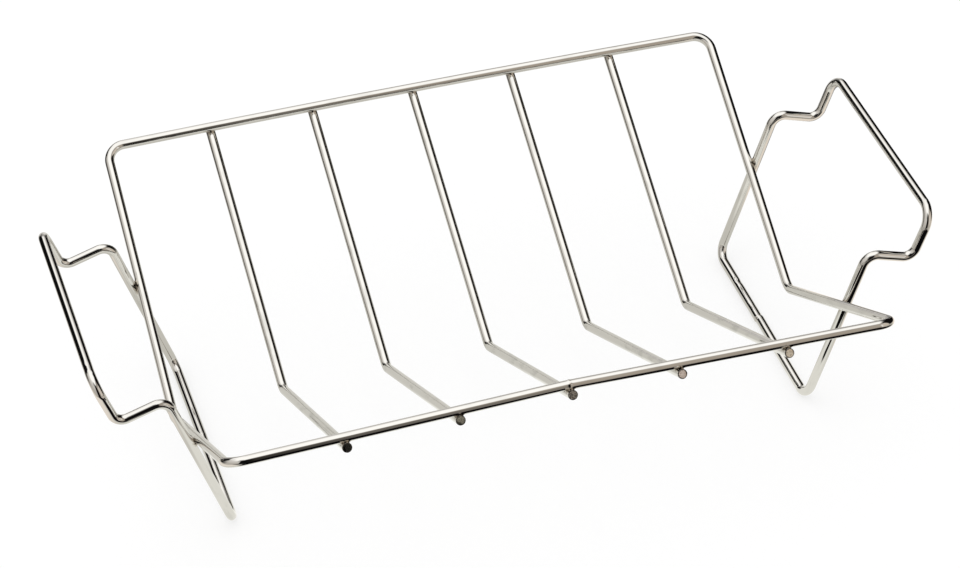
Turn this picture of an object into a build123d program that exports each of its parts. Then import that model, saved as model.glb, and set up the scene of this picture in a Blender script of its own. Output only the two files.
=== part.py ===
from build123d import *
import math
import os

# A V-shaped wire rack for roasting: one closed rim wire, five V-bent ribs
# welded under its long rails, and two end stands that are feet and handles.
# X runs along the trough, Y to the back, Z up. The origin is on the surface
# the rack stands on, below the middle of the trough. Millimetres.

# Wire gauges
rim_wire = 4.8
rib_wire = 4.8
stand_wire = 4.8

# How far two crossing wires sink into each other at a resistance weld
weld_set = 0.4

# Rim, all between wire middles
rim_length = 330.0
wing_reach = 128.9          # level, from the trough line to each long rail
rail_height = 99.8
rim_trough_height = 22.3
rim_corner_radius = 9.0
rim_trough_radius = 8.0
back_rail_bow = 1.5         # rise of the back rail's middle above its corners
front_rail_peak = 4.3       # rise of the front rail at its butt weld
peak_bend_radius = 40.0

# Upset ring that a butt weld leaves round a closed wire
ring_height = 0.2
ring_width = 0.6            # along its crest
ring_slope = 1.0            # from root to crest, half of it inside the wire
foot_weld_offset = 4.0      # from the middle of the foot bar, to the back
foot_weld_clear = 0.05      # the ring is dressed off this far above the floor

# Ribs
rib_pitch = 54.4
rib_bend_height = 25.8
rib_bend_radius = 6.0
rib_back_overhang = 3.2     # past the weld, behind the back rail
sheared_edge = 0.3          # edge broken by the shear at a rib's ends
# For each rib, how far along X its back end, its bend and its front end sit
# from the even pitch, and how far its front end passes the weld
rib_settings = [
    (-0.7, 0.6, -0.6, 3.3),
    (-0.2, 0.5, 0.0, 2.2),
    (0.0, 0.5, 0.0, 4.2),
    (-0.2, -0.6, 0.0, 4.2),
    (0.6, -0.7, 0.0, 3.5),
]

# End stands, all between wire middles
stand_width = 125.9         # along Y, between the two arms
arm_top_height = 88.6
arm_lean = 18.1             # degrees out from upright
jog_reach = 24.5            # level, from the arm out to the riser
jog_drop = 7.8
handle_rise = 25.6          # from the jog's outer end up to the handle bar
riser_lean = 19.1           # degrees out from upright
foot_radius = 8.0
arm_radius = 6.5
jog_radius = 6.0
handle_radius = 10.0

# Slope of a wing, and where the rim's end rail is at the stand's arms
wing_rise = rail_height - rim_trough_height
wing_slope = math.atan2(wing_rise, wing_reach)
arm_y = stand_width / 2
cross_height = rim_trough_height + wing_rise * arm_y / wing_reach


def touching(first, second):
    """Distance between the middles of two wires that are welded together."""
    return (first + second) / 2 - weld_set


def round_wire(path, diameter):
    """A round bar of the given diameter along a path."""
    start = Plane(origin=path @ 0, z_dir=path % 0)
    return sweep(start * Circle(diameter / 2), path=path).solid()


def butt_weld(middle, direction, diameter):
    """The low ring round a wire where its two ends are welded."""
    root = diameter / 2 - ring_height
    crest = diameter / 2 + ring_height
    half = ring_width / 2 + ring_slope
    profile = Polyline((0, -half), (root, -half), (crest, ring_slope - half),
                       (crest, half - ring_slope), (root, half), (0, half), close=True)
    ring = revolve(Plane.XZ * make_face(profile), Axis.Z)
    return Plane(origin=middle, z_dir=direction) * ring


def back_rail(x):
    """Middle of the back rail, a shallow even bow."""
    share = x / (rim_length / 2)
    return Vector(x, wing_reach, rail_height + back_rail_bow * (1 - share**2))


def front_rail(x):
    """Middle of the front rail, two straight runs that meet at the butt weld."""
    share = abs(x) / (rim_length / 2)
    return Vector(x, -wing_reach, rail_height + front_rail_peak * (1 - share))


def make_rim():
    """The closed rim wire, from the trough's right end round to its left."""
    end = rim_length / 2
    back = [back_rail(end * share) for share in (1, 0.6, 0.2, -0.2, -0.6, -1)]
    front = [front_rail(-end), front_rail(0), front_rail(end)]
    points = [Vector(end, 0, rim_trough_height), *back]
    points += [Vector(-end, 0, rim_trough_height), *front]
    bow_radius = 8 * rim_length
    radii = [rim_trough_radius, rim_corner_radius]
    radii += [bow_radius] * (len(back) - 2) + [rim_corner_radius]
    radii += [rim_trough_radius, rim_corner_radius, peak_bend_radius]
    radii += [rim_corner_radius]
    wire = round_wire(FilletPolyline(*points, radius=radii, close=True), rim_wire)
    # The rounded peak passes a little below the point where its runs would meet
    slope = math.atan2(front_rail_peak, end)
    below = peak_bend_radius * (1 / math.cos(slope) - 1)
    weld = front_rail(0) - Vector(0, 0, below)
    return (wire + butt_weld(weld, Vector(1, 0, 0), rim_wire)).solid()


def rib_end(bend, rail_point, side, overhang):
    """End of a rib that passes under a rail and touches it from below."""
    level = (rail_point.Y - bend.Y) * side
    rise = rail_point.Z - bend.Z
    reach = math.hypot(level, rise)
    turn = math.asin(touching(rim_wire, rib_wire) / reach)
    slope = math.atan2(rise, level) - turn
    length = reach * math.cos(turn)
    run = Vector(rail_point.X - bend.X, side * length * math.cos(slope),
                 length * math.sin(slope))
    return bend + run * (1 + overhang / length)


def make_rib(number, back_set, bend_set, front_set, front_overhang):
    """One V-bent rib, under the back rail, through its bend to the front."""
    x = (number - (len(rib_settings) - 1) / 2) * rib_pitch
    bend = Vector(x + bend_set, 0, rib_bend_height)
    back = rib_end(bend, back_rail(x + back_set), 1, rib_back_overhang)
    front = rib_end(bend, front_rail(x + front_set), -1, front_overhang)
    path = FilletPolyline(back, bend, front, radius=rib_bend_radius)
    wire = round_wire(path, rib_wire)
    ends = wire.faces().filter_by(GeomType.PLANE).edges()
    return chamfer(ends, sheared_edge)


def make_stand(side):
    """One closed end stand; side is 1 at the right end and -1 at the left."""
    lean = math.radians(arm_lean)
    # The arm stands off the rim's end rail by the weld distance, square to both
    along = math.cos(wing_slope) * math.cos(lean)
    skew = math.hypot(math.cos(wing_slope), math.sin(wing_slope) * math.sin(lean))
    cross_x = rim_length / 2 + touching(rim_wire, stand_wire) * skew / along
    foot_z = stand_wire / 2
    foot_x = cross_x - (cross_height - foot_z) * math.tan(lean)
    arm_x = cross_x + (arm_top_height - cross_height) * math.tan(lean)
    jog_x = arm_x + jog_reach
    jog_z = arm_top_height - jog_drop
    handle_x = jog_x + handle_rise * math.tan(math.radians(riser_lean))
    handle_z = jog_z + handle_rise
    profile = [(foot_x, foot_z, foot_radius), (arm_x, arm_top_height, arm_radius),
               (jog_x, jog_z, jog_radius), (handle_x, handle_z, handle_radius)]
    around = [(x, arm_y, z, radius) for x, z, radius in profile]
    around += [(x, -arm_y, z, radius) for x, z, radius in reversed(profile)]
    points = [Vector(side * x, y, z) for x, y, z, _ in around]
    radii = [radius for _, _, _, radius in around]
    wire = round_wire(FilletPolyline(*points, radius=radii, close=True), stand_wire)
    weld = Vector(side * foot_x, foot_weld_offset, foot_z)
    ring = butt_weld(weld, Vector(0, 1, 0), stand_wire)
    ring = split(ring, Plane.XY.offset(foot_weld_clear), keep=Keep.TOP)
    return (wire + ring).solid()


pieces = {
    f"rib_{number + 1}": make_rib(number, *setting)
    for number, setting in enumerate(rib_settings)
}
pieces["end_stand_left"] = make_stand(-1)
pieces["end_stand_right"] = make_stand(1)

# The rim takes the print of each wire that is welded to it
rim = make_rim()
for wire in pieces.values():
    rim = rim - wire
pieces["rim"] = rim.solid() if isinstance(rim, (Part, Compound)) else rim

os.makedirs("parts", exist_ok=True)
for name, piece in pieces.items():
    piece.label = name
    export_step(piece, f"parts/{name}.step")
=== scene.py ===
"""A V-shaped wire roasting rack, dressed as bright plated wire on a white table."""

import logging
import math
from collections.abc import Sequence
from dataclasses import dataclass, field
from enum import Enum

import bpy
import numpy as np
from mathutils import Matrix, Vector


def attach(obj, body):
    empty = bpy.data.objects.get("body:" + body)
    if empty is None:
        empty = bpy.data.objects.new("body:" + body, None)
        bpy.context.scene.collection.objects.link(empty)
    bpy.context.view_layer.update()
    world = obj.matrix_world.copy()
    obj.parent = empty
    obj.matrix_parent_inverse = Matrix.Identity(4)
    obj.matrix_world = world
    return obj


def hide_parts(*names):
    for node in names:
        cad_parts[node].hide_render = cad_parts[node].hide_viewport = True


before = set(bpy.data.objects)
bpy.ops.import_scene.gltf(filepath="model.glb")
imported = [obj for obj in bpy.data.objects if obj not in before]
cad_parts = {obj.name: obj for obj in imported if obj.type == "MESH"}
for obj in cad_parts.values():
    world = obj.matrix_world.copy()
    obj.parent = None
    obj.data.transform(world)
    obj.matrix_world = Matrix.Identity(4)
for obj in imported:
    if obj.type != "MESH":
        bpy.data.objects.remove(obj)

LOG = logging.getLogger("rack")
MM = 0.001
# How many points go round a wire
AROUND = 80

# A colour, a place or a scale
Triple = tuple[float, float, float]
Socket = bpy.types.NodeSocket
# What feeds a node's input
Fed = Socket | float | Triple
# A face, as the numbers of its points
Face = tuple[int, ...]


class Slot(Enum):
    """The record's material slots."""

    RIM = "rim_wire"
    RIB = "rib_wire"
    STAND = "stand_wire"


class Side(Enum):
    """The end of the rack that a stand is welded to."""

    LEFT = -1
    RIGHT = 1


class Rail(Enum):
    """One of the rim's two long rails, by the side of the trough it is on."""

    BACK = 1
    FRONT = -1


# Middle lines of bent wire


@dataclass(frozen=True)
class Corner:
    """A corner of a wire's middle line, in mm, with the radius it is bent to."""

    place: Vector
    radius: float = 0.0


@dataclass(frozen=True)
class Run:
    """A straight stretch of a middle line."""

    start: Vector
    heading: Vector
    length: float

    def at(self, along: float) -> tuple[Vector, Vector]:
        """The point and direction at a length along the run."""
        return self.start + self.heading * along, self.heading

    def steps(self, step: float, turn: float) -> int:
        """How many steps the run is cut into."""
        return max(1, math.ceil(self.length / step))


@dataclass(frozen=True)
class Bend:
    """A round bend of a middle line."""

    centre: Vector
    outward: Vector
    heading: Vector
    radius: float
    length: float

    def at(self, along: float) -> tuple[Vector, Vector]:
        """The point and direction at a length along the bend.

        Args:
            along: the length from the bend's start.

        Returns:
            The point and the direction.
        """
        angle = along / self.radius
        cosine, sine = math.cos(angle), math.sin(angle)
        point = self.centre + (self.outward * cosine + self.heading * sine) * self.radius
        return point, self.heading * cosine - self.outward * sine

    def steps(self, step: float, turn: float) -> int:
        """How many steps the bend is cut into, by its length and by its turn."""
        angle = self.length / self.radius
        return max(2, math.ceil(self.length / step), math.ceil(angle / turn))


class Route:
    """The middle line of one bent wire, as runs and bends, in mm."""

    def __init__(self, corners: Sequence[Corner], closed: bool) -> None:
        """Works out the runs and bends.

        Args:
            corners: the corners in order; an open wire's first and last are its ends.
            closed: whether the wire runs back into its own start.
        """
        self.closed = closed
        self.parts: list[Run | Bend] = []
        count = len(corners)
        turns = range(count) if closed else range(1, count - 1)
        leave = corners[0].place
        bends: list[tuple[Vector, Vector, Bend | None]] = []
        for index in turns:
            bends.append(self._bend(corners[index - 1].place, corners[index],
                                    corners[(index + 1) % count].place))
        if closed:
            leave = bends[-1][1]
        for enter, after, bend in bends:
            self._add_run(leave, enter)
            if bend is not None:
                self.parts.append(bend)
            leave = after
        if not closed:
            self._add_run(leave, corners[-1].place)
        self.length = sum(part.length for part in self.parts)

    @staticmethod
    def _bend(before: Vector, corner: Corner, after: Vector
              ) -> tuple[Vector, Vector, Bend | None]:
        """The bend at one corner.

        Args:
            before: the corner before it.
            corner: the corner that is bent.
            after: the corner after it.

        Returns:
            Where the bend starts, where it ends, and the bend, or None at a flat corner.
        """
        enter = (corner.place - before).normalized()
        leave = (after - corner.place).normalized()
        turn = enter.angle(leave, 0.0)
        if turn < 1e-5 or corner.radius <= 0:
            return corner.place, corner.place, None
        back = corner.radius * math.tan(turn / 2)
        start = corner.place - enter * back
        inward = (leave - enter * leave.dot(enter)).normalized()
        bend = Bend(start + inward * corner.radius, -inward, enter, corner.radius,
                    corner.radius * turn)
        return start, corner.place + leave * back, bend

    def _add_run(self, start: Vector, end: Vector) -> None:
        """Adds a straight run where the two points are apart.

        Args:
            start: where it starts.
            end: where it ends.
        """
        step = end - start
        if step.length > 1e-6:
            self.parts.append(Run(start, step.normalized(), step.length))

    def at(self, along: float) -> tuple[Vector, Vector]:
        """The point and direction at a length along the whole route.

        Args:
            along: the length from the route's start.

        Returns:
            The point and the direction.
        """
        for part in self.parts:
            if along <= part.length:
                return part.at(along)
            along -= part.length
        last = self.parts[-1]
        return last.at(last.length)

    def nearest(self, place: Vector) -> float:
        """The length along the route at which it passes nearest to a place.

        Args:
            place: the place.

        Returns:
            The length, to about a millimetre.
        """
        lengths = np.linspace(0.0, self.length, max(2, int(self.length)))
        gaps = [(self.at(float(s))[0] - place).length for s in lengths]
        return float(lengths[int(np.argmin(gaps))])

    def stations(self, step: float, turn: float, close_ups: Sequence[float],
                 reach: float, fine: float) -> np.ndarray:
        """The lengths along the route at which a ring of the mesh is set.

        Args:
            step: the longest step on a straight run.
            turn: the largest turn between two rings of a bend, in radians.
            close_ups: lengths around which the rings stand closer.
            reach: how far to each side of a close-up they do.
            fine: the step there.

        Returns:
            The lengths, in order.
        """
        found: list[float] = []
        start = 0.0
        for part in self.parts:
            found += list(start + np.linspace(0, part.length, part.steps(step, turn) + 1))
            start += part.length
        for middle in close_ups:
            found = [s for s in found if abs(s - middle) > reach]
            found += list(np.arange(middle - reach, middle + reach + fine / 2, fine))
        kept = [0.0]
        for s in sorted(found):
            if kept[-1] + fine / 2 < s < self.length - fine / 2:
                kept.append(s)
        if not self.closed:
            kept.append(self.length)
        return np.array(kept)


# Meshes of round wire


@dataclass(frozen=True)
class Neighbour:
    """A straight stretch of another wire that this wire is welded to."""

    middle: Vector
    heading: Vector
    radius: float

    def gaps(self, points: np.ndarray) -> np.ndarray:
        """Distance of each point from the other wire's surface.

        Args:
            points: places, along the last axis.

        Returns:
            The distances.
        """
        heading = np.array(self.heading)
        offset = points - np.array(self.middle)
        along = (offset @ heading)[..., None] * heading
        return np.linalg.norm(offset - along, axis=-1) - self.radius


@dataclass(frozen=True)
class ButtWeld:
    """The place where a closed wire's two ends are welded end to end.

    rise is the height of the upset ring, half its half length along the wire, step how
    far the end before it is out of line, which fades along the wire, and tint how
    much of the heat still shows.
    """

    place: Vector
    rise: float = 0.14
    half: float = 0.6
    step: Vector = Vector((0.0, 0.0, 0.0))
    fade: float = 50.0
    tint: float = 1.0


@dataclass(frozen=True)
class Nick:
    """A shallow dent or flat pressed into a wire's side, in mm."""

    place: Vector
    depth: float
    half: float


@dataclass(frozen=True)
class ShearedEnd:
    """How the shear left one end of an open wire.

    tip is the lean of the cut face, in degrees, about the wire's two cross axes, lip
    the depth of the crescent that the blade rolled down, and edge the broken corner.
    """

    tip: tuple[float, float] = (0.0, 0.0)
    lip: float = 0.25
    lip_turn: float = 0.0
    edge: float = 0.3


@dataclass
class Skin:
    """A wire's points, what each of them stores, and its faces.

    lay is the place on the drawn wire, cross_weld and butt_weld are the heat of a weld,
    and cut_reach is how far out a point of a sheared end lies, and 1 on the sides.
    """

    spots: np.ndarray
    lay: np.ndarray
    cross_weld: np.ndarray
    butt_weld: np.ndarray
    cut_reach: np.ndarray
    sides: list[Face]
    ends: list[Face] = field(default_factory=list)

    def add_cap(self, cap: np.ndarray, lay: np.ndarray, reach: np.ndarray,
                faces: list[Face]) -> None:
        """Adds a sheared end.

        Args:
            cap: its points, by ring and by place round it.
            lay: the lay of the wire's last full ring.
            reach: how far out each of its points lies.
            faces: its faces.
        """
        cold = np.zeros(reach.size)
        self.spots = np.concatenate([self.spots, cap.reshape(-1, 3)])
        self.lay = np.concatenate([self.lay, np.tile(lay, (len(cap), 1))])
        self.cross_weld = np.concatenate([self.cross_weld, cold])
        self.butt_weld = np.concatenate([self.butt_weld, cold])
        self.cut_reach = np.concatenate([self.cut_reach, reach.ravel()])
        self.ends += faces

    def build(self, name: str) -> bpy.types.Object:
        """Makes the wire's object, in metres.

        Args:
            name: the piece's name.

        Returns:
            The object, with the sides as material 0 and sheared ends as material 1.
        """
        mesh = bpy.data.meshes.new(name)
        mesh.from_pydata((self.spots * MM).tolist(), [], self.sides + self.ends)
        mesh.polygons.foreach_set("use_smooth", [True] * len(mesh.polygons))
        shown = [0] * len(self.sides) + [1] * len(self.ends)
        mesh.polygons.foreach_set("material_index", shown)
        lay = mesh.attributes.new("wire_lay", "FLOAT_VECTOR", "POINT")
        lay.data.foreach_set("vector", (self.lay * MM).astype(np.float32).ravel())
        for label, values in (("cross_weld", self.cross_weld),
                              ("butt_weld", self.butt_weld),
                              ("cut_reach", self.cut_reach)):
            layer = mesh.attributes.new(label, "FLOAT", "POINT")
            layer.data.foreach_set("value", values.astype(np.float32))
        mesh.update()
        made = bpy.data.objects.new(name, mesh)
        bpy.context.scene.collection.objects.link(made)
        return made


class WireMesh:
    """Builds the mesh of one round wire along its route, with its welds and ends.

    RING_STEP and RING_TURN part the mesh's rings on a run and in a bend, and within
    CLOSE_UP of a weld or a dent FINE_STEP does.
    """

    RING_STEP = 4.0
    RING_TURN = math.radians(3.0)
    CLOSE_UP = 6.0
    FINE_STEP = 0.4
    # A direction that no wire starts in
    ASIDE = (0.31, 0.22, 0.93)
    # The fillet that a cross weld squeezes out, and the waves along and round its edge
    FILLET_RISE = 0.55
    FILLET_REACH = 1.5
    FILLET_CURVE = 2.2
    FILLET_WAVER = 0.12
    RING_WAVER = 0.25
    WAVES_ALONG = 0.9
    WAVES_ROUND = 3.0
    # How far the heat of a cross weld shows off the other wire and from its middle,
    # and that of a butt weld along the wire
    HEAT_REACH = 3.2
    HEAT_SPREAD = 8.0
    BUTT_HEAT_REACH = 0.9
    # Over what length an offset end falls back at its butt weld
    STEP_EDGE = 0.5
    # Sets the lay's pattern apart from wire to wire
    LAY_SHIFT = 437.0
    # A sheared end: its rings, where its rolled lip starts, and its torn face
    EDGE_SHARES = (0.25, 0.5, 0.75, 1.0)
    FACE_SHARES = np.linspace(0.94, 0.02, 14)
    LIP_START = 0.35
    LIP_CURVE = 1.5
    TEAR_RISE = 0.02
    TEAR_WAVES = (9.1, 7.3)

    def __init__(self, route: Route, radius: float, neighbours: Sequence[Neighbour] = (),
                 butt_welds: Sequence[ButtWeld] = (), nicks: Sequence[Nick] = (),
                 ends: Sequence[ShearedEnd] = (), seed: int = 0) -> None:
        """Keeps what the wire is made of.

        Args:
            route: the wire's middle line.
            radius: half the wire's gauge.
            neighbours: the wires that it is welded to.
            butt_welds: where a closed wire's ends meet.
            nicks: its dents.
            ends: an open wire's first and last end.
            seed: tells one wire's small unevenness from another's.
        """
        self.route = route
        self.radius = radius
        self.neighbours = neighbours
        self.butt_welds = butt_welds
        self.nicks = nicks
        self.ends = ends
        self.seed = seed
        places = [n.middle for n in neighbours]
        places += [b.place for b in butt_welds] + [n.place for n in nicks]
        close_ups = [route.nearest(place) for place in places]
        self.lengths = route.stations(self.RING_STEP, self.RING_TURN, close_ups,
                                      self.CLOSE_UP, self.FINE_STEP)

    def _frames(self) -> tuple[np.ndarray, np.ndarray, np.ndarray, np.ndarray]:
        """Middle points, directions and two cross axes at each ring, without twist."""
        found = [self.route.at(float(s)) for s in self.lengths]
        points = np.array([p for p, _ in found])
        headings = np.array([h for _, h in found])
        first = np.cross(headings[0], self.ASIDE)
        axes = [first / np.linalg.norm(first)]
        for heading in headings[1:]:
            across = axes[-1] - heading * (axes[-1] @ heading)
            axes.append(across / np.linalg.norm(across))
        side = np.array(axes)
        if self.route.closed:
            back = side[-1] - headings[0] * (side[-1] @ headings[0])
            back /= np.linalg.norm(back)
            turn = math.atan2(np.cross(back, side[0]) @ headings[0], back @ side[0])
            share = self.lengths / self.route.length * turn
            other = np.cross(headings, side)
            side = side * np.cos(share)[:, None] + other * np.sin(share)[:, None]
        return points, headings, side, np.cross(headings, side)

    def _out_of_line(self) -> np.ndarray:
        """How far each ring is moved by ends that meet out of line at a butt weld."""
        moved = np.zeros((len(self.lengths), 3))
        for weld in self.butt_welds:
            before = self.route.nearest(weld.place) - self.lengths
            share = np.where(before > 0, np.exp(-before / weld.fade), 0.0)
            share = share * np.clip(before / self.STEP_EDGE, 0, 1)
            moved += share[:, None] * np.array(weld.step)
        return moved

    def _lift(self, surface: np.ndarray, angles: np.ndarray) -> np.ndarray:
        """How far each point of the plain round surface stands out or in.

        Args:
            surface: points of the surface, by ring and by place round the wire.
            angles: the angle round the wire of each place.

        Returns:
            The rise of each point, in mm.
        """
        lift = np.zeros(surface.shape[:2])
        wave = np.sin(self.lengths[:, None] * self.WAVES_ALONG
                      + self.WAVES_ROUND * angles + self.seed)
        rise = self.FILLET_RISE + self.FILLET_WAVER * wave
        for other in self.neighbours:
            near = np.clip(1 - other.gaps(surface) / self.FILLET_REACH, 0, 1)
            lift = np.maximum(lift, rise * near**self.FILLET_CURVE)
        for weld in self.butt_welds:
            offset = np.linalg.norm(surface - np.array(weld.place), axis=-1)
            along = np.sqrt(np.maximum(offset**2 - self.radius**2, 0)) / weld.half
            lift += weld.rise * (1 + self.RING_WAVER * wave) * np.exp(-along**2)
        for nick in self.nicks:
            offset = np.linalg.norm(surface - np.array(nick.place), axis=-1) / nick.half
            lift -= nick.depth * np.exp(-offset**2)
        return lift

    def _weld_mask(self, surface: np.ndarray) -> np.ndarray:
        """Where the heat of a cross weld shows.

        Args:
            surface: points of the surface, by ring and by place round the wire.

        Returns:
            1 at a weld, falling to 0 a few millimetres from the other wire.
        """
        mask = np.zeros(surface.shape[:2])
        for other in self.neighbours:
            centre = np.linalg.norm(surface - np.array(other.middle), axis=-1)
            near = np.clip(1 - other.gaps(surface) / self.HEAT_REACH, 0, 1)
            mask = np.maximum(mask, near * np.exp(-(centre / self.HEAT_SPREAD) ** 2))
        return mask

    def _butt_mask(self, surface: np.ndarray) -> np.ndarray:
        """Where the heat of a butt weld shows.

        Args:
            surface: points of the surface, by ring and by place round the wire.

        Returns:
            The weld's tint at its ring, falling to 0 on each side of it.
        """
        mask = np.zeros(surface.shape[:2])
        for weld in self.butt_welds:
            offset = np.linalg.norm(surface - np.array(weld.place), axis=-1)
            along = np.sqrt(np.maximum(offset**2 - self.radius**2, 0))
            shown = np.exp(-((along / self.BUTT_HEAT_REACH) ** 2))
            mask = np.maximum(mask, weld.tint * shown)
        return mask

    def _cap(self, index: int, end: ShearedEnd, ring: np.ndarray, heading: np.ndarray,
             side: np.ndarray, other: np.ndarray) -> np.ndarray:
        """The points of one sheared end, from its last full ring to its middle.

        Args:
            index: 0 for the first end, 1 for the last.
            end: how the shear left it.
            ring: the wire's last full ring, by place round the wire.
            heading: the direction out of the end.
            side: the wire's first cross axis there.
            other: its second cross axis.

        Returns:
            Points by ring of the cap and by place round it; the last ring is small.
        """
        middle = ring.mean(axis=0)
        spokes = (ring - middle) / self.radius
        inner = self.radius - end.edge
        rings = []
        for share in self.EDGE_SHARES:
            angle = share * math.pi / 2
            rings.append((inner + end.edge * math.cos(angle), end.edge * math.sin(angle)))
        rings += [(inner * share, end.edge) for share in self.FACE_SHARES]
        lean = (math.tan(math.radians(end.tip[0])), math.tan(math.radians(end.tip[1])))
        turn = math.radians(end.lip_turn)
        points = []
        for reach, rise in rings:
            spot = spokes * reach
            first, second = spot @ side, spot @ other
            height = rise + (first * lean[0] + second * lean[1]) * rise / end.edge
            rolled = (first * math.cos(turn) + second * math.sin(turn)) / self.radius
            past = np.clip((rolled - self.LIP_START) / (1 - self.LIP_START), 0, 1)
            height = height - end.lip * past**self.LIP_CURVE
            rough = (np.sin(self.TEAR_WAVES[0] * first + 2.0 * index)
                     * np.sin(self.TEAR_WAVES[1] * second + self.seed))
            height = height + self.TEAR_RISE * rough * np.clip(0.5 - rolled, 0, 1)
            points.append(middle + spot + height[:, None] * heading)
        return np.array(points)

    def build(self, name: str) -> bpy.types.Object:
        """Makes the wire's object, with its welds, dents and ends.

        Args:
            name: the piece's name.

        Returns:
            The object.
        """
        points, headings, side, other = self._frames()
        points = points + self._out_of_line()
        angles = np.linspace(0, 2 * math.pi, AROUND, endpoint=False)
        spokes = (side[:, None] * np.cos(angles)[:, None]
                  + other[:, None] * np.sin(angles)[:, None])
        surface = points[:, None] + spokes * self.radius
        lift = self._lift(surface, angles[None])
        cross, butt = self._weld_mask(surface), self._butt_mask(surface)
        surface = surface + spokes * lift[..., None]
        # A foot's ring is dressed off at the table
        surface[..., 2] = np.maximum(surface[..., 2], 0.0)
        lay = np.stack(np.broadcast_arrays(
            np.cos(angles)[None] * self.radius, np.sin(angles)[None] * self.radius,
            self.lengths[:, None] + self.LAY_SHIFT * self.seed), axis=-1)
        skin = Skin(surface.reshape(-1, 3), lay.reshape(-1, 3), cross.ravel(), butt.ravel(),
                    np.ones(cross.size), self._quads(len(surface), 0, self.route.closed))
        for index, end in enumerate(self.ends):
            at = -index
            outward = headings[at] * (1 if index else -1)
            cap = self._cap(index, end, surface[at], outward, side[at], other[at])
            reach = np.linalg.norm(cap - cap[-1].mean(axis=0), axis=-1) / self.radius
            edge = (len(surface) - 1) * AROUND * index
            faces = self._cap_faces(edge, len(skin.spots), len(cap), index == 1)
            skin.add_cap(cap, lay[at], reach, faces)
        return skin.build(name)

    @staticmethod
    def _quads(rings: int, first: int, closed: bool) -> list[Face]:
        """The four-sided faces between rings of points.

        Args:
            rings: how many rings there are.
            first: the first ring's first point.
            closed: whether the last ring joins the first.

        Returns:
            The faces.
        """
        faces: list[Face] = []
        for ring in range(rings if closed else rings - 1):
            here, after = first + ring * AROUND, first + (ring + 1) % rings * AROUND
            for spot in range(AROUND):
                beside = (spot + 1) % AROUND
                faces.append((here + spot, here + beside, after + beside, after + spot))
        return faces

    @classmethod
    def _cap_faces(cls, edge: int, first: int, rings: int, outward: bool
                   ) -> list[Face]:
        """The faces of a sheared end.

        Args:
            edge: the first point of the wire's last full ring.
            first: the cap's first point.
            rings: how many rings the cap has.
            outward: whether the wire's direction points out of this end.

        Returns:
            The faces, with the small middle closed by one.
        """
        faces: list[Face] = []
        for spot in range(AROUND):
            beside = (spot + 1) % AROUND
            faces.append((edge + spot, edge + beside, first + beside, first + spot))
        faces += cls._quads(rings, first, False)
        last = first + (rings - 1) * AROUND
        faces.append(tuple(range(last, last + AROUND)))
        return faces if outward else [face[::-1] for face in faces]


# Shader nodes


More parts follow.
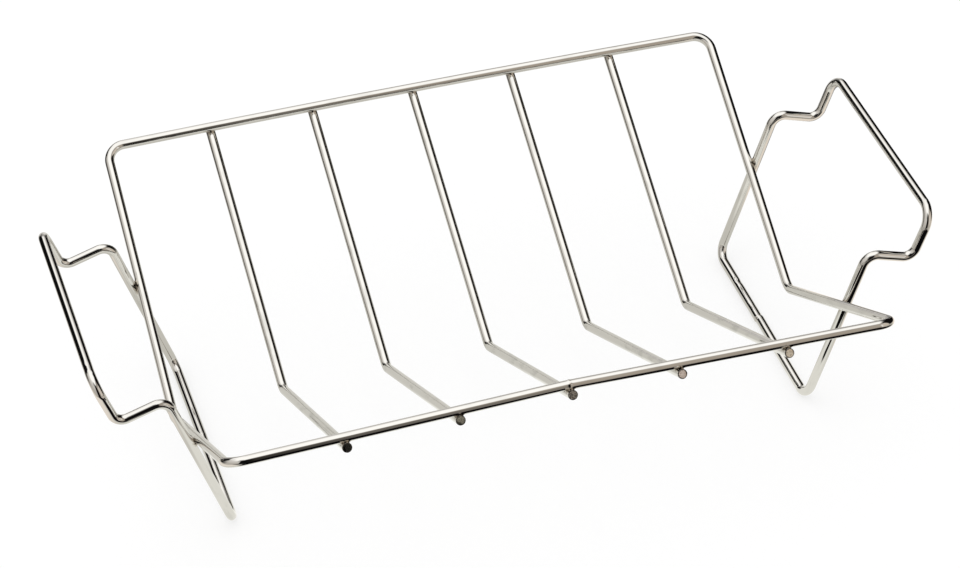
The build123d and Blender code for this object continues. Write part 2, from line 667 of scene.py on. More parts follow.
class Graph:
    """Adds nodes to one node tree, and links them by their sockets."""

    def __init__(self, tree: bpy.types.NodeTree) -> None:
        """Works on a tree that has no nodes of its own yet."""
        self.tree = tree
        tree.nodes.clear()

    def add(self, kind: str, **settings: object) -> bpy.types.Node:
        """Adds a node.

        Args:
            kind: the node's type.
            settings: properties of the node, by name.

        Returns:
            The node.
        """
        node = self.tree.nodes.new(kind)
        for name, value in settings.items():
            setattr(node, name, value)
        return node

    def feed(self, socket: Socket, value: Fed) -> None:
        """Links a socket to another, or sets its own value.

        Args:
            socket: the input.
            value: an output, a number, a vector or a colour without its alpha.
        """
        if isinstance(value, bpy.types.NodeSocket):
            self.tree.links.new(value, socket)
        else:
            socket.default_value = (*value, 1.0) if socket.type == "RGBA" else value

    def fed(self, kind: str, inputs: dict[str | int, Fed], output: str | int = 0,
            **settings: object) -> Socket:
        """Adds a node and feeds its inputs.

        Args:
            kind: the node's type.
            inputs: what feeds each input, by the input's name or number.
            output: the name or number of the output to use.
            settings: properties of the node, by name.

        Returns:
            The output.
        """
        node = self.add(kind, **settings)
        for name, value in inputs.items():
            self.feed(node.inputs[name], value)
        return node.outputs[output]

    def math(self, operation: str, *values: Fed) -> Socket:
        """The result of a Math node."""
        return self.fed("ShaderNodeMath", dict(enumerate(values)), operation=operation)

    def ramp(self, value: Socket, low: Fed, high: Fed) -> Socket:
        """A smooth step of a value, from 0 at low to 1 at high."""
        ends = {"Value": value, "From Min": low, "From Max": high}
        return self.fed("ShaderNodeMapRange", ends, "Result",
                        interpolation_type="SMOOTHSTEP")

    def blend(self, share: Fed, first: Fed, second: Fed) -> Socket:
        """A colour between two, second where share is 1."""
        return self.fed("ShaderNodeMix", {0: share, 6: first, 7: second}, 2,
                        data_type="RGBA")

    def noise(self, place: Socket, scale: float, detail: float) -> Socket:
        """The value of a Noise Texture."""
        taken = {"Vector": place, "Scale": scale, "Detail": detail}
        return self.fed("ShaderNodeTexNoise", taken, "Fac")

    def stretched(self, place: Socket, scale: Triple) -> Socket:
        """A place with each axis multiplied."""
        return self.fed("ShaderNodeVectorMath", {0: place, 1: scale}, operation="MULTIPLY")

    def distance(self, place: Socket, start: Triple) -> Socket:
        """How far a place is from another."""
        return self.fed("ShaderNodeVectorMath", {0: place, 1: start}, "Value",
                        operation="DISTANCE")

    def axes(self, place: Socket) -> bpy.types.NodeOutputs:
        """The three axes of a place, by number."""
        return self.fed("ShaderNodeSeparateXYZ", {0: place}).node.outputs

    def stored(self, name: str, output: str = "Fac") -> Socket:
        """A value that the mesh stores at its points."""
        return self.add("ShaderNodeAttribute", attribute_name=name).outputs[output]

    def bump(self, height: Socket, strength: float, depth: float) -> Socket:
        """The normal that a height gives, with a depth in mm."""
        taken = {"Height": height, "Strength": strength, "Distance": depth * MM}
        return self.fed("ShaderNodeBump", taken, "Normal")

    def mixed(self, share: Fed, first: Socket, second: Socket) -> Socket:
        """A mix of two shaders, second where share is 1."""
        return self.fed("ShaderNodeMixShader", {0: share, 1: first, 2: second})

    def group(self, tree: bpy.types.NodeTree, **values: Fed) -> bpy.types.NodeOutputs:
        """Places a group.

        Args:
            tree: the group's tree.
            values: what feeds each of its inputs, by name.

        Returns:
            The group's outputs, by name.
        """
        node = self.add("ShaderNodeGroup", node_tree=tree)
        for name, value in values.items():
            self.feed(node.inputs[name], value)
        return node.outputs

    def end(self, shader: Socket, kind: str = "ShaderNodeOutputMaterial") -> None:
        """Ends the tree with a shader."""
        self.feed(self.add(kind).inputs["Surface"], shader)


def new_group(name: str, inputs: dict[str, str], outputs: dict[str, str]
              ) -> tuple[Graph, bpy.types.NodeOutputs, bpy.types.NodeInputs]:
    """Starts a shader node group.

    Args:
        name: the group's name.
        inputs: the kind of socket of each named input, such as Float or Vector.
        outputs: the same for its outputs.

    Returns:
        A graph of the group's nodes, what it is given, and what it puts out.
    """
    tree = bpy.data.node_groups.new(name, "ShaderNodeTree")
    for way, sockets in (("INPUT", inputs), ("OUTPUT", outputs)):
        for label, kind in sockets.items():
            tree.interface.new_socket(name=label, in_out=way,
                                      socket_type=f"NodeSocket{kind}")
    graph = Graph(tree)
    return graph, graph.add("NodeGroupInput").outputs, graph.add("NodeGroupOutput").inputs


def new_material(name: str) -> tuple[bpy.types.Material, Graph]:
    """Starts a material.

    Args:
        name: the material's name.

    Returns:
        The material and a graph of its nodes.
    """
    made = bpy.data.materials.new(name)
    made.use_nodes = True
    return made, Graph(made.node_tree)


class WireEffects:
    """The shader node groups that the wire finishes share, each built once."""

    def __init__(self) -> None:
        """Builds the groups."""
        self.plating = self._plating()
        self.heat = self._heat()

    @staticmethod
    def _plating() -> bpy.types.NodeTree:
        """Marks that drawing, plating and handling leave on bright wire."""
        graph, given, out = new_group(
            "bright_plating",
            {"Lay": "Vector", "Waver": "Float", "Cloud": "Float", "Polish": "Float"},
            {"Height": "Float", "Roughness": "Float", "Cloudiness": "Float"})
        lay = given["Lay"]
        line_depth, line_rough, pit_depth, cloud_rough = 0.004, 0.02, 0.02, 0.16
        lines = graph.noise(graph.stretched(lay, (1.0, 1.0, 0.012)), 5200.0, 2.0)
        bow = graph.noise(graph.stretched(lay, (0.35, 0.35, 1.0)), 46.0, 1.0)
        pits = graph.ramp(graph.noise(lay, 1500.0, 2.0), 0.68, 0.8)
        smears = graph.noise(graph.stretched(lay, (1.0, 1.0, 0.3)), 260.0, 3.0)
        cloud = graph.math("MULTIPLY", graph.ramp(smears, 0.5, 0.72), given["Cloud"])
        height = graph.math("MULTIPLY", bow, given["Waver"])
        height = graph.math("MULTIPLY_ADD", lines, line_depth, height)
        height = graph.math("MULTIPLY_ADD", pits, -pit_depth, height)
        rough = graph.math("MULTIPLY_ADD", lines, line_rough, given["Polish"])
        rough = graph.math("MULTIPLY_ADD", cloud, cloud_rough, rough)
        graph.feed(out["Height"], height)
        graph.feed(out["Roughness"], rough)
        graph.feed(out["Cloudiness"], cloud)
        return graph.tree

    @staticmethod
    def _heat() -> bpy.types.NodeTree:
        """Straw tint and scale round a weld, by how near the weld is."""
        graph, given, out = new_group(
            "weld_heat",
            {"Lay": "Vector", "Near": "Float", "Clean": "Color", "Straw": "Color",
             "Scale": "Color"},
            {"Colour": "Color", "Burn": "Float"})
        near = given["Near"]
        spots = graph.noise(given["Lay"], 700.0, 3.0)
        edge = graph.math("ADD", near, graph.math("MULTIPLY_ADD", spots, 0.9, -0.45))
        tint = graph.math("MULTIPLY", graph.ramp(edge, 0.3, 0.6),
                          graph.ramp(near, 0.02, 0.2))
        burn = graph.math("MULTIPLY", graph.ramp(edge, 0.62, 0.8),
                          graph.ramp(near, 0.2, 0.4))
        colour = graph.blend(tint, given["Clean"], given["Straw"])
        graph.feed(out["Colour"], graph.blend(burn, colour, given["Scale"]))
        graph.feed(out["Burn"], burn)
        return graph.tree


# Finishes


def end_in_metal(graph: Graph, colour: Socket, rough: Socket, normal: Socket) -> None:
    """Ends a material's nodes in bare metal.

    Args:
        graph: the material's nodes.
        colour: the metal's colour.
        rough: its roughness.
        normal: its normal.
    """
    inputs = {"Base Color": colour, "Metallic": 1.0, "Roughness": rough, "Normal": normal}
    graph.end(graph.fed("ShaderNodeBsdfPrincipled", inputs, "BSDF"))


@dataclass(frozen=True)
class BrightWire:
    """Bright plated drawn wire."""

    name: str
    metal: Triple = (0.697, 0.684, 0.65)
    cloud_metal: Triple = (0.5, 0.495, 0.465)
    straw: Triple = (0.5, 0.46, 0.4)
    scale: Triple = (0.05, 0.04, 0.032)
    polish: float = 0.0
    waver: float = 0.35
    cloud: float = 0.3
    butt_heat: float = 0.45
    burn_rough: float = 0.1

    def material(self, effects: WireEffects) -> bpy.types.Material:
        """Makes the material.

        Args:
            effects: the shared shader groups.

        Returns:
            The finish as a material.
        """
        made, graph = new_material(self.name)
        lay = graph.stored("wire_lay", "Vector")
        butt = graph.math("MULTIPLY", graph.stored("butt_weld"), self.butt_heat)
        near = graph.math("MAXIMUM", graph.stored("cross_weld"), butt)
        plate = graph.group(effects.plating, Lay=lay, Waver=self.waver, Cloud=self.cloud,
                            Polish=self.polish)
        clean = graph.blend(plate["Cloudiness"], self.metal, self.cloud_metal)
        heat = graph.group(effects.heat, Lay=lay, Near=near, Clean=clean, Straw=self.straw,
                           Scale=self.scale)
        rough = graph.math("MULTIPLY_ADD", heat["Burn"], self.burn_rough,
                           plate["Roughness"])
        end_in_metal(graph, heat["Colour"], rough, graph.bump(plate["Height"], 0.15, 0.4))
        return made


@dataclass(frozen=True)
class CutWire:
    """The sheared face at the end of a wire, partly plated over. Its metal and torn colours
    are partly painted reflection and shade, set per end for how bright its tilted face
    looks, and its dark rim is the blade's burr with painted shade where the face rounds
    over.
    """

    name: str
    # The metal and torn colours are partly painted reflection and shade: how bright this
    # end's tilted face looks, besides its own torn metal
    metal: Triple
    torn: Triple
    # The dark rim is the blade's burr with painted shade where the face rounds over at its
    # edge
    rim: Triple = (0.1, 0.09, 0.08)
    smooth: float = 0.16
    rough: float = 0.42

    def material(self, effects: WireEffects) -> bpy.types.Material:
        """Makes the material.

        Args:
            effects: the shared shader groups.

        Returns:
            The finish as a material.
        """
        made, graph = new_material(self.name)
        place = graph.add("ShaderNodeTexCoord").outputs["Object"]
        tear = graph.noise(graph.stretched(place, (1.0, 0.35, 1.0)), 1900.0, 4.0)
        torn = graph.ramp(tear, 0.46, 0.62)
        plate = graph.group(effects.plating, Lay=place, Waver=0.2, Cloud=0.3,
                            Polish=self.smooth)
        colour = graph.blend(torn, self.metal, self.torn)
        # Burr and painted shade: darker towards the face's outer edge
        edge = graph.math("ADD", graph.stored("cut_reach"),
                          graph.math("MULTIPLY_ADD", tear, 0.3, -0.15))
        colour = graph.blend(graph.ramp(edge, 0.72, 0.92), colour, self.rim)
        rough = graph.math("MULTIPLY_ADD", torn, self.rough - self.smooth,
                           plate["Roughness"])
        end_in_metal(graph, colour, rough, graph.bump(tear, 0.5, 0.12))
        return made


# Sub-assemblies


def set_in_place(piece: bpy.types.Object, node: str, slot: Slot,
                 finishes: Sequence[bpy.types.Material]) -> None:
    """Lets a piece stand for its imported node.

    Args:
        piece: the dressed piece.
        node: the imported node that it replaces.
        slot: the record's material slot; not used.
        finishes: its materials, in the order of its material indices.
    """
    for finish in finishes:
        piece.data.materials.append(finish)
    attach(piece, "root")
    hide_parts(node)
    LOG.info("%s: %d faces", piece.name, len(piece.data.polygons))


@dataclass(frozen=True)
class Joint:
    """A cross weld of two wires, each as a straight stretch beside it."""

    rim: Neighbour
    other: Neighbour


@dataclass
class Rim:
    """The closed rim wire: two long rails, and a V at each end."""

    wire: float = 4.8
    weld_set: float = 0.4
    length: float = 330.0
    wing_reach: float = 128.9
    rail_height: float = 99.8
    trough_height: float = 22.3
    corner_radius: float = 9.0
    trough_radius: float = 8.0
    back_bow: float = 1.5
    front_peak: float = 4.3
    peak_radius: float = 40.0

    def rail(self, which: Rail, x: float) -> Vector:
        """The middle of a long rail.

        Args:
            which: the rail.
            x: the place along the rack.

        Returns:
            The middle of its wire there.
        """
        share = abs(x) / (self.length / 2)
        if which is Rail.BACK:
            height = self.back_bow * (1 - share**2)
        else:
            height = self.front_peak * (1 - share)
        return Vector((x, which.value * self.wing_reach, self.rail_height + height))

    def wing_slope(self) -> float:
        """The slope of a wing, in radians."""
        return math.atan2(self.rail_height - self.trough_height, self.wing_reach)

    def end_rail_height(self, y: float) -> float:
        """The height of the rim's end rail at a place across the rack."""
        rise = self.rail_height - self.trough_height
        return self.trough_height + rise * abs(y) / self.wing_reach

    def route(self) -> Route:
        """The rim's middle line."""
        end = self.length / 2
        # The back rail's bow is four slight bends
        shares = (1, 0.6, 0.2, -0.2, -0.6, -1)
        slight = 8 * self.length
        radii = [self.corner_radius, *[slight] * 4, self.corner_radius]
        corners = [Corner(Vector((end, 0, self.trough_height)), self.trough_radius)]
        corners += [Corner(self.rail(Rail.BACK, end * s), r) for s, r in zip(shares, radii)]
        corners.append(Corner(Vector((-end, 0, self.trough_height)), self.trough_radius))
        for x, radius in ((-end, self.corner_radius), (0.0, self.peak_radius),
                          (end, self.corner_radius)):
            corners.append(Corner(self.rail(Rail.FRONT, x), radius))
        return Route(corners, closed=True)

    def build(self, joints: Sequence[Joint], finish: bpy.types.Material) -> None:
        """Builds and dresses the rim.

        Args:
            joints: every cross weld on it.
            finish: the finish of its wire.
        """
        peak = self.rail(Rail.FRONT, 0.0)
        slope = math.atan2(self.front_peak, self.length / 2)
        peak.z -= self.peak_radius * (1 / math.cos(slope) - 1)
        mesh = WireMesh(self.route(), self.wire / 2, [j.other for j in joints],
                        [ButtWeld(peak)], seed=1)
        set_in_place(mesh.build("rim_wire"), "rim", Slot.RIM, [finish])


@dataclass
class Rib:
    """One V-bent rib, under both rails.

    back_set, bend_set and front_set are how far it is off the even pitch at its back
    weld, its bend and its front weld.
    """

    number: int
    back_set: float
    bend_set: float
    front_set: float
    front_overhang: float
    front_end: ShearedEnd
    cut: CutWire
    back_end: ShearedEnd = ShearedEnd((2.0, -3.0), 0.2, 40.0)
    wire: float = 4.8
    pitch: float = 54.4
    count: int = 5
    bend_height: float = 25.8
    bend_radius: float = 6.0
    back_overhang: float = 3.2

    def _leg(self, rim: Rim, which: Rail) -> tuple[Vector, Vector, float]:
        """One leg of the rib.

        Args:
            rim: the rim that the rib is welded under.
            which: the rail that the leg reaches.

        Returns:
            The bend's corner, the leg's direction and its length to the weld.
        """
        x = (self.number - (self.count - 1) / 2) * self.pitch
        shift = self.back_set if which is Rail.BACK else self.front_set
        bend = Vector((x + self.bend_set, 0, self.bend_height))
        goal = rim.rail(which, x + shift)
        level, rise = (goal.y - bend.y) * which.value, goal.z - bend.z
        reach = math.hypot(level, rise)
        turn = math.asin(((rim.wire + self.wire) / 2 - rim.weld_set) / reach)
        slope = math.atan2(rise, level) - turn
        length = reach * math.cos(turn)
        run = Vector((goal.x - bend.x, which.value * length * math.cos(slope),
                      length * math.sin(slope)))
        return bend, run / length, length

    def joints(self, rim: Rim) -> list[Joint]:
        """The rib's two welds.

        Args:
            rim: the rim that it is welded under.

        Returns:
            The welds, back and front.
        """
        found = []
        for which in Rail:
            bend, run, length = self._leg(rim, which)
            touch = bend + run * length
            along = rim.rail(which, touch.x + 1) - rim.rail(which, touch.x - 1)
            rail = Neighbour(rim.rail(which, touch.x), along.normalized(), rim.wire / 2)
            found.append(Joint(rail, Neighbour(touch, run.normalized(), self.wire / 2)))
        return found

    def build(self, rim: Rim, finishes: Sequence[bpy.types.Material]) -> None:
        """Builds and dresses the rib.

        Args:
            rim: the rim that it is welded under.
            finishes: the finish of its wire, and of its sheared ends.
        """
        bend, back, back_length = self._leg(rim, Rail.BACK)
        _, front, front_length = self._leg(rim, Rail.FRONT)
        # A sheared end's rounded edge stands past its last full ring
        back_reach = back_length + self.back_overhang - self.back_end.edge
        front_reach = front_length + self.front_overhang - self.front_end.edge
        route = Route([Corner(bend + back * back_reach),
                       Corner(bend, self.bend_radius),
                       Corner(bend + front * front_reach)], closed=False)
        mesh = WireMesh(route, self.wire / 2, [j.rim for j in self.joints(rim)],
                        ends=[self.back_end, self.front_end], seed=10 + self.number)
        name = f"rib_{self.number + 1}"
        set_in_place(mesh.build(name + "_wire"), name, Slot.RIB, finishes)


@dataclass
class EndStand:
    """One closed end stand: foot bar, two arms, jogs, risers and handle bar.

    ring_rise and ring_tint are the height and the heat tint of its butt weld's ring,
    and foot_step is how far the foot bar's ends are out of line there.
    """

    side: Side
    ring_rise: float
    ring_tint: float
    foot_step: float = 0.0
    nicks: tuple[Nick, ...] = ()
    wire: float = 4.8
    width: float = 125.9
    arm_top_height: float = 88.6
    arm_lean: float = 18.1
    jog_reach: float = 24.5
    jog_drop: float = 7.8
    handle_rise: float = 25.6
    riser_lean: float = 19.1
    foot_radius: float = 8.0
    arm_radius: float = 6.5
    jog_radius: float = 6.0
    handle_radius: float = 10.0
    foot_weld_offset: float = 4.0

    def _profile(self, rim: Rim) -> tuple[float, list[tuple[float, float, float]]]:
        """The stand seen from the front.

        Args:
            rim: the rim that it carries.

        Returns:
            Where it crosses the rim, and its corners as x, z and radius, from the
            foot up.
        """
        lean, slope = math.radians(self.arm_lean), rim.wing_slope()
        touching = (rim.wire + self.wire) / 2 - rim.weld_set
        skew = math.hypot(math.cos(slope), math.sin(slope) * math.sin(lean))
        cross_x = rim.length / 2 + touching * skew / (math.cos(slope) * math.cos(lean))
        cross_z = rim.end_rail_height(self.width / 2)
        foot_z = self.wire / 2
        foot_x = cross_x - (cross_z - foot_z) * math.tan(lean)
        arm_x = cross_x + (self.arm_top_height - cross_z) * math.tan(lean)
        jog_x, jog_z = arm_x + self.jog_reach, self.arm_top_height - self.jog_drop
        handle_x = jog_x + self.handle_rise * math.tan(math.radians(self.riser_lean))
        return cross_x, [(foot_x, foot_z, self.foot_radius),
                         (arm_x, self.arm_top_height, self.arm_radius),
                         (jog_x, jog_z, self.jog_radius),
                         (handle_x, jog_z + self.handle_rise, self.handle_radius)]

    def route(self, rim: Rim) -> Route:
        """The stand's middle line.

        Args:
            rim: the rim that it carries.

        Returns:
            The middle line, from the back of the foot bar.
        """
        _, profile = self._profile(rim)
        corners = []
        for y, points in ((1, profile), (-1, profile[::-1])):
            for x, z, radius in points:
                place = Vector((self.side.value * x, y * self.width / 2, z))
                corners.append(Corner(place, radius))
        return Route(corners, closed=True)

    def joints(self, rim: Rim) -> list[Joint]:
        """The stand's two welds to the rim's end rail.

        Args:
            rim: the rim that it carries.

        Returns:
            The welds, back and front.
        """
        cross_x, _ = self._profile(rim)
        lean, slope = math.radians(self.arm_lean), rim.wing_slope()
        found = []
        for y in (1, -1):
            height = rim.end_rail_height(self.width / 2)
            place = Vector((self.side.value * cross_x, y * self.width / 2, height))
            arm = Vector((self.side.value * math.sin(lean), 0, math.cos(lean)))
            rail = Vector((0, y * math.cos(slope), math.sin(slope)))
            level = Vector((self.side.value * rim.length / 2, place.y, height))
            # The nearest places of the two middle lines
            normal = arm.cross(rail).normalized()
            gap = place - level
            on_arm = place - arm * (gap.cross(rail).dot(normal) / arm.cross(rail).length)
            on_rail = level + rail * (on_arm - level).dot(rail)
            found.append(Joint(Neighbour(on_rail, rail, rim.wire / 2),
                               Neighbour(on_arm, arm, self.wire / 2)))
        return found

    def build(self, rim: Rim, finish: bpy.types.Material) -> None:
        """Builds and dresses the stand.

        Args:
            rim: the rim that it carries.
            finish: the finish of its wire.
        """
        _, profile = self._profile(rim)
        foot_x, foot_z, _ = profile[0]
        place = Vector((self.side.value * foot_x, self.foot_weld_offset, foot_z))
        weld = ButtWeld(place, self.ring_rise, step=Vector((self.foot_step, 0, 0)),
                        tint=self.ring_tint)
        mesh = WireMesh(self.route(rim), self.wire / 2, [j.rim for j in self.joints(rim)],
                        [weld], self.nicks, seed=20 + self.side.value)
        name = f"end_stand_{self.side.name.lower()}"
        set_in_place(mesh.build(name + "_wire"), name, Slot.STAND, [finish])


# Studio


@dataclass(frozen=True)
class Panel:
    """A soft-edged part of the room that only shows in the metal, by direction.

    middle and half are degrees round from the back, to the right; low and high are
    degrees above the horizon. soft is half the width of its side edges, and fade half
    the width of its lower and upper edges.
    """

    middle: float
    half: float
    low: float
    high: float
    colour: Triple
    soft: float
    fade: float


@dataclass(frozen=True)
class Patch:
    """A soft-edged part of the table that only shows in the metal, in mm.

    soft is half the width of its side edges, and fade half that of its front and back
    edges.
    """

    left: float
    right: float
    front: float
    back: float
    colour: Triple
    soft: float
    fade: float


WHITE: Triple = (1.0, 1.0, 1.0)


def tone(level: float, warmth: float = 0.0) -> Triple:
    """A grey of a level, warmer or cooler by a small share."""
    return level * (1 + warmth), level, level * (1 - warmth)


SKY = tone(1.42, 0.005)
ROOM = (
    Panel(0, 190, -90, 56, tone(1.18, 0.01), 5, 6),
    Panel(-10, 14, 30, 60, tone(1.36, 0.01), 6, 6),
    Panel(-100, 52, -90, 46, tone(0.78, 0.04), 8, 14),
    Panel(-100, 52, -90, 16, tone(0.58, 0.06), 8, 16),
    Panel(-50, 26, -90, 14, tone(0.15, 0.05), 14, 16),
    Panel(-8, 22, -90, 24, tone(0.62, 0.03), 10, 8),
    Panel(-12, 14, -90, 24, tone(0.25, 0.03), 8, 6),
    Panel(0, 26, -90, -3, tone(0.66, 0.03), 6, 3),
    Panel(22, 12, -90, 44, tone(0.84, 0.03), 7, 8),
    Panel(19, 9, 8, 29, tone(0.3, 0.03), 5, 8),
    Panel(-36, 18, -90, 33.5, tone(0.006), 5, 4),
    Panel(118, 34, 36, 60, tone(0.37, 0.12), 8, 8),
    Panel(68, 40, -90, 35, tone(0.006), 5, 6),
    Panel(42, 14, -90, 37, tone(0.006), 6, 4),
    Panel(78, 28, -90, 54, tone(0.006), 8, 6),
    Panel(124, 18, -90, 35, tone(0.68, 0.12), 5, 5),
    Panel(160, 12, -90, 52, tone(0.44, 0.14), 4, 6),
    Panel(174, 8, -90, 50, tone(0.2, 0.1), 3, 8),
    Panel(179, 8, -90, 50, tone(0.012, 0.07), 2.5, 8),
    Panel(-152, 20, 36, 60, tone(0.42, 0.03), 6, 6),
    Panel(-168, 18, -90, 48, tone(0.005), 4, 8),
)
TABLE = (
    Patch(-190, 180, -170, -6, (0.99, 0.985, 0.935), 20, 22),
    Patch(-360, -215, -260, 60, tone(0.95, 0.08), 15, 20),
    Patch(195, 420, -80, 110, tone(0.95, 0.11), 15, 20),
    Patch(-185, 60, -4000, -159, tone(0.004), 12, 6),
    Patch(40, 300, -4000, -146, tone(0.004), 12, 6),
    Patch(50, 138, -200, -121, tone(0.004), 12, 6),
    Patch(218, 360, 60, 300, tone(0.3), 14, 30),
    Patch(-420, -150, -900, -290, tone(0.01), 20, 50),
    Patch(190, 310, -200, -111, tone(0.005), 10, 8),
    Patch(60, 400, -900, -440, tone(0.3, 0.1), 30, 30),
)


@dataclass
class Studio:
    """The white table, the room round it and one soft lamp.

    half_floor is in metres. table_middle and table_reach, in mm, say where the table
    that the metal reflects ends; clean_share is how much of its shadow is lost.
    """

    half_floor: float = 6.0
    table_middle: float = -250.0
    table_reach: float = 560.0
    table_edge: float = 0.07
    clean_share: float = 0.65
    table_near: Triple = (0.74, 0.727, 0.68)
    table_far: Triple = (0.6, 0.56, 0.5)
    lamp_place: Triple = (-0.4, 0.3, 1.6)
    lamp_tilt: Triple = (math.radians(-10), math.radians(-14), 0.0)
    lamp_size: float = 2.0
    lamp_watts: float = 4.0
    room_light: float = 0.97

    @staticmethod
    def _panel_group() -> bpy.types.NodeTree:
        """A mask with soft edges over a range of two numbers."""
        names = ("Across", "Up", "Half", "Low", "High", "Soft", "Fade")
        graph, given, out = new_group("soft_panel", dict.fromkeys(names, "Float"),
                                      {"Mask": "Float"})
        across, up, half, low, high, soft, fade = (given[name] for name in names)
        between = graph.ramp(graph.math("ABSOLUTE", across),
                             graph.math("ADD", half, soft),
                             graph.math("SUBTRACT", half, soft))
        over = graph.ramp(up, graph.math("SUBTRACT", low, fade),
                          graph.math("ADD", low, fade))
        under = graph.ramp(up, graph.math("ADD", high, fade),
                           graph.math("SUBTRACT", high, fade))
        mask = graph.math("MULTIPLY", between, graph.math("MULTIPLY", over, under))
        graph.feed(out["Mask"], mask)
        return graph.tree

    def _room(self, panel: bpy.types.NodeTree) -> None:
        """Sets the world: white, with the room's panels in what metal reflects.

        Args:
            panel: the group that masks a panel.
        """
        world = bpy.data.worlds.new("studio_room")
        bpy.context.scene.world = world
        world.use_nodes = True
        world.cycles.sampling_method = "NONE"
        graph = Graph(world.node_tree)
        way = graph.axes(graph.add("ShaderNodeTexCoord").outputs["Generated"])
        turn = graph.math("DEGREES", graph.math("ARCTAN2", way[0], way[1]))
        up = graph.math("DEGREES", graph.math("ARCSINE", way[2]))
        colour: Fed = SKY
        for each in ROOM:
            across = graph.math("WRAP", graph.math("SUBTRACT", turn, each.middle),
                                180.0, -180.0)
            mask = graph.group(panel, Across=across, Up=up, Half=each.half, Low=each.low,
                               High=each.high, Soft=each.soft, Fade=each.fade)["Mask"]
            colour = graph.blend(mask, colour, each.colour)
        path = graph.add("ShaderNodeLightPath").outputs
        shown = graph.blend(path["Is Glossy Ray"], (self.room_light,) * 3, colour)
        plain = graph.math("MAXIMUM", path["Is Camera Ray"], path["Is Transmission Ray"])
        shown = graph.blend(plain, shown, WHITE)
        back = graph.fed("ShaderNodeBackground", {"Color": shown}, "Background")
        graph.end(back, "ShaderNodeOutputWorld")

    def _table_colour(self, graph: Graph, place: Socket, panel: bpy.types.NodeTree
                      ) -> Socket:
        """The table's colour in what metal reflects.

        Args:
            graph: the nodes of the table's material.
            place: the place on the table.
            panel: the group that masks a patch.

        Returns:
            The colour.
        """
        along = graph.axes(place)
        away = graph.ramp(graph.distance(place, (0.0, 0.0, 0.0)), 0.2, 0.5)
        colour = graph.blend(away, self.table_near, self.table_far)
        for each in TABLE:
            middle, half = (each.left + each.right) / 2, (each.right - each.left) / 2
            across = graph.math("SUBTRACT", along[0], middle * MM)
            mask = graph.group(panel, Across=across, Up=along[1], Half=half * MM,
                               Low=each.front * MM, High=each.back * MM,
                               Soft=each.soft * MM, Fade=each.fade * MM)["Mask"]
            colour = graph.blend(mask, colour, each.colour)
        return colour

    def _table_finish(self, panel: bpy.types.NodeTree) -> bpy.types.Material:
        """White that keeps the shadow, with the table's patches in what metal reflects.

        Args:
            panel: the group that masks a patch.

        Returns:
            The finish as a material.
        """
        made, graph = new_material("white_table")
        place = graph.add("ShaderNodeTexCoord").outputs["Object"]
        grain = graph.bump(graph.noise(place, 900.0, 2.0), 0.05, 0.1)
        inputs = {"Base Color": WHITE, "Roughness": 0.9, "Specular IOR Level": 0.0,
                  "Normal": grain}
        sheet = graph.fed("ShaderNodeBsdfPrincipled", inputs, "BSDF")
        white = graph.add("ShaderNodeEmission").outputs["Emission"]
        glow = graph.fed("ShaderNodeEmission",
                         {"Color": self._table_colour(graph, place, panel)}, "Emission")
        clear = graph.add("ShaderNodeBsdfTransparent").outputs["BSDF"]
        away = graph.distance(place, (0.0, self.table_middle * MM, 0.0))
        reach = self.table_reach * MM
        past = graph.ramp(away, reach * (1 - self.table_edge), reach * (1 + self.table_edge))
        path = graph.add("ShaderNodeLightPath").outputs
        mirrored = graph.math("MAXIMUM", path["Is Glossy Ray"], path["Is Transmission Ray"])
        clean = graph.math("MULTIPLY", path["Is Camera Ray"], self.clean_share)
        graph.end(graph.mixed(mirrored, graph.mixed(clean, sheet, white),
                              graph.mixed(past, glow, clear)))
        return made

    def build(self) -> None:
        """Sets up the table, the room and the lamp."""
        panel = self._panel_group()
        self._room(panel)
        half = self.half_floor
        mesh = bpy.data.meshes.new("table")
        mesh.from_pydata([(-half, -half, 0), (half, -half, 0), (half, half, 0),
                          (-half, half, 0)], [], [(0, 1, 2, 3)])
        mesh.materials.append(self._table_finish(panel))
        table = bpy.data.objects.new("table", mesh)
        bpy.context.scene.collection.objects.link(table)
        lamp = bpy.data.lights.new("soft_lamp", "AREA")
        lamp.energy, lamp.size = self.lamp_watts, self.lamp_size
        hung = bpy.data.objects.new("soft_lamp", lamp)
        hung.location, hung.rotation_euler = self.lamp_place, self.lamp_tilt
        hung.visible_glossy = False
        bpy.context.scene.collection.objects.link(hung)


@dataclass
class Camera:
    """The camera, by its place in metres, its view direction and its up direction."""

    place: Triple = (-0.3837, -1.2493, 1.1098)
    ahead: Triple = (0.2274, 0.74778, -0.62384)
    up: Triple = (0.1949, 0.5927, 0.7814)
    lens: float = 124.38
    sensor: float = 36.0
    clip_end: float = 50.0

    def build(self) -> None:
        """Makes the camera and looks through it."""
        made = bpy.data.cameras.new("camera")
        made.lens, made.sensor_width, made.sensor_fit = self.lens, self.sensor, "HORIZONTAL"
        made.clip_end = self.clip_end
        held = bpy.data.objects.new("camera", made)
        ahead = Vector(self.ahead).normalized()
        right = ahead.cross(Vector(self.up)).normalized()
        above = right.cross(ahead)
        turn = Matrix((right, above, -ahead)).transposed().to_4x4()
        held.matrix_world = Matrix.Translation(self.place) @ turn
        bpy.context.scene.collection.objects.link(held)
        bpy.context.scene.camera = held
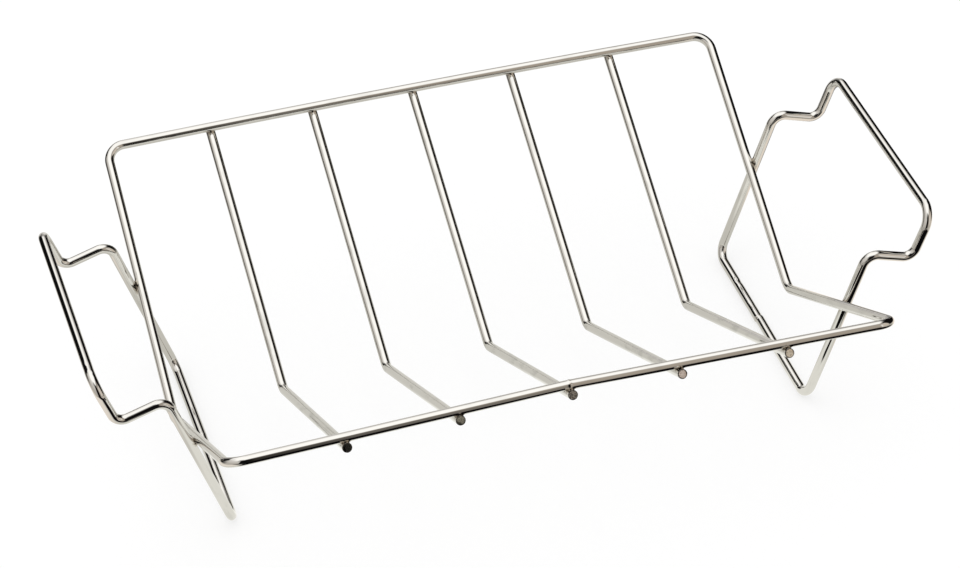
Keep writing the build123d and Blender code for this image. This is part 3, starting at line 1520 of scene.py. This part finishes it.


# The rack in the photograph


# Each end's cut colours are partly painted reflection and shade, set for how bright its
# tilted face looks, besides its own torn metal
RIBS = (
    Rib(0, back_set=-0.7, bend_set=0.6, front_set=-0.6, front_overhang=3.3,
        front_end=ShearedEnd((0.0, 0.0), 0.22, 30.0),
        cut=CutWire("sheared_black_painted_reflection", (0.1, 0.1, 0.095), (0.035, 0.035, 0.033))),
    Rib(1, back_set=-0.2, bend_set=0.5, front_set=0.0, front_overhang=2.2,
        front_end=ShearedEnd((4.0, -3.0), 0.25, 80.0),
        cut=CutWire("sheared_green_grey_painted_reflection", (0.52, 0.53, 0.46), (0.3, 0.31, 0.27))),
    Rib(2, back_set=0.0, bend_set=0.5, front_set=0.0, front_overhang=4.2,
        front_end=ShearedEnd((-3.0, 4.0), 0.35, 120.0),
        cut=CutWire("sheared_speckled_painted_reflection", (0.62, 0.6, 0.56), (0.07, 0.065, 0.06))),
    Rib(3, back_set=-0.2, bend_set=-0.6, front_set=0.0, front_overhang=4.2,
        front_end=ShearedEnd((8.0, 8.0), 0.25, 200.0),
        cut=CutWire("sheared_pinkish_painted_reflection", (0.57, 0.51, 0.47), (0.42, 0.36, 0.33))),
    Rib(4, back_set=0.6, bend_set=-0.7, front_set=0.0, front_overhang=3.5,
        front_end=ShearedEnd((8.0, 6.0), 0.3, 260.0),
        cut=CutWire("sheared_beige_painted_reflection", (0.6, 0.55, 0.46), (0.42, 0.38, 0.31))),
)
STANDS = (
    EndStand(Side.LEFT, ring_rise=0.07, ring_tint=0.2,
             nicks=(Nick(Vector((-212.8, -50.0, 108.2)), 0.2, 2.2),)),
    EndStand(Side.RIGHT, ring_rise=0.14, ring_tint=0.8, foot_step=0.45,
             nicks=(Nick(Vector((151.6, 35.0, 4.7)), 0.3, 2.2),
                    Nick(Vector((149.2, 14.0, 4.0)), 0.14, 3.2))),
)


def main() -> None:
    """Builds the camera, the rack and the studio."""
    logging.basicConfig(level=logging.INFO, format="%(name)s: %(message)s")
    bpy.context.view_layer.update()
    bpy.context.scene.view_settings.view_transform = "Standard"
    Camera().build()
    effects = WireEffects()
    rim = Rim()
    joints = [joint for piece in (*RIBS, *STANDS) for joint in piece.joints(rim)]
    rim.build(joints, BrightWire("bright_rim_wire").material(effects))
    rib_wire = BrightWire("bright_rib_wire", cloud=0.6, polish=0.01).material(effects)
    for rib in RIBS:
        rib.build(rim, [rib_wire, rib.cut.material(effects)])
    stand_wire = BrightWire("bright_stand_wire").material(effects)
    for stand in STANDS:
        stand.build(rim, stand_wire)
    Studio().build()


if __name__ == "__main__":
    main()
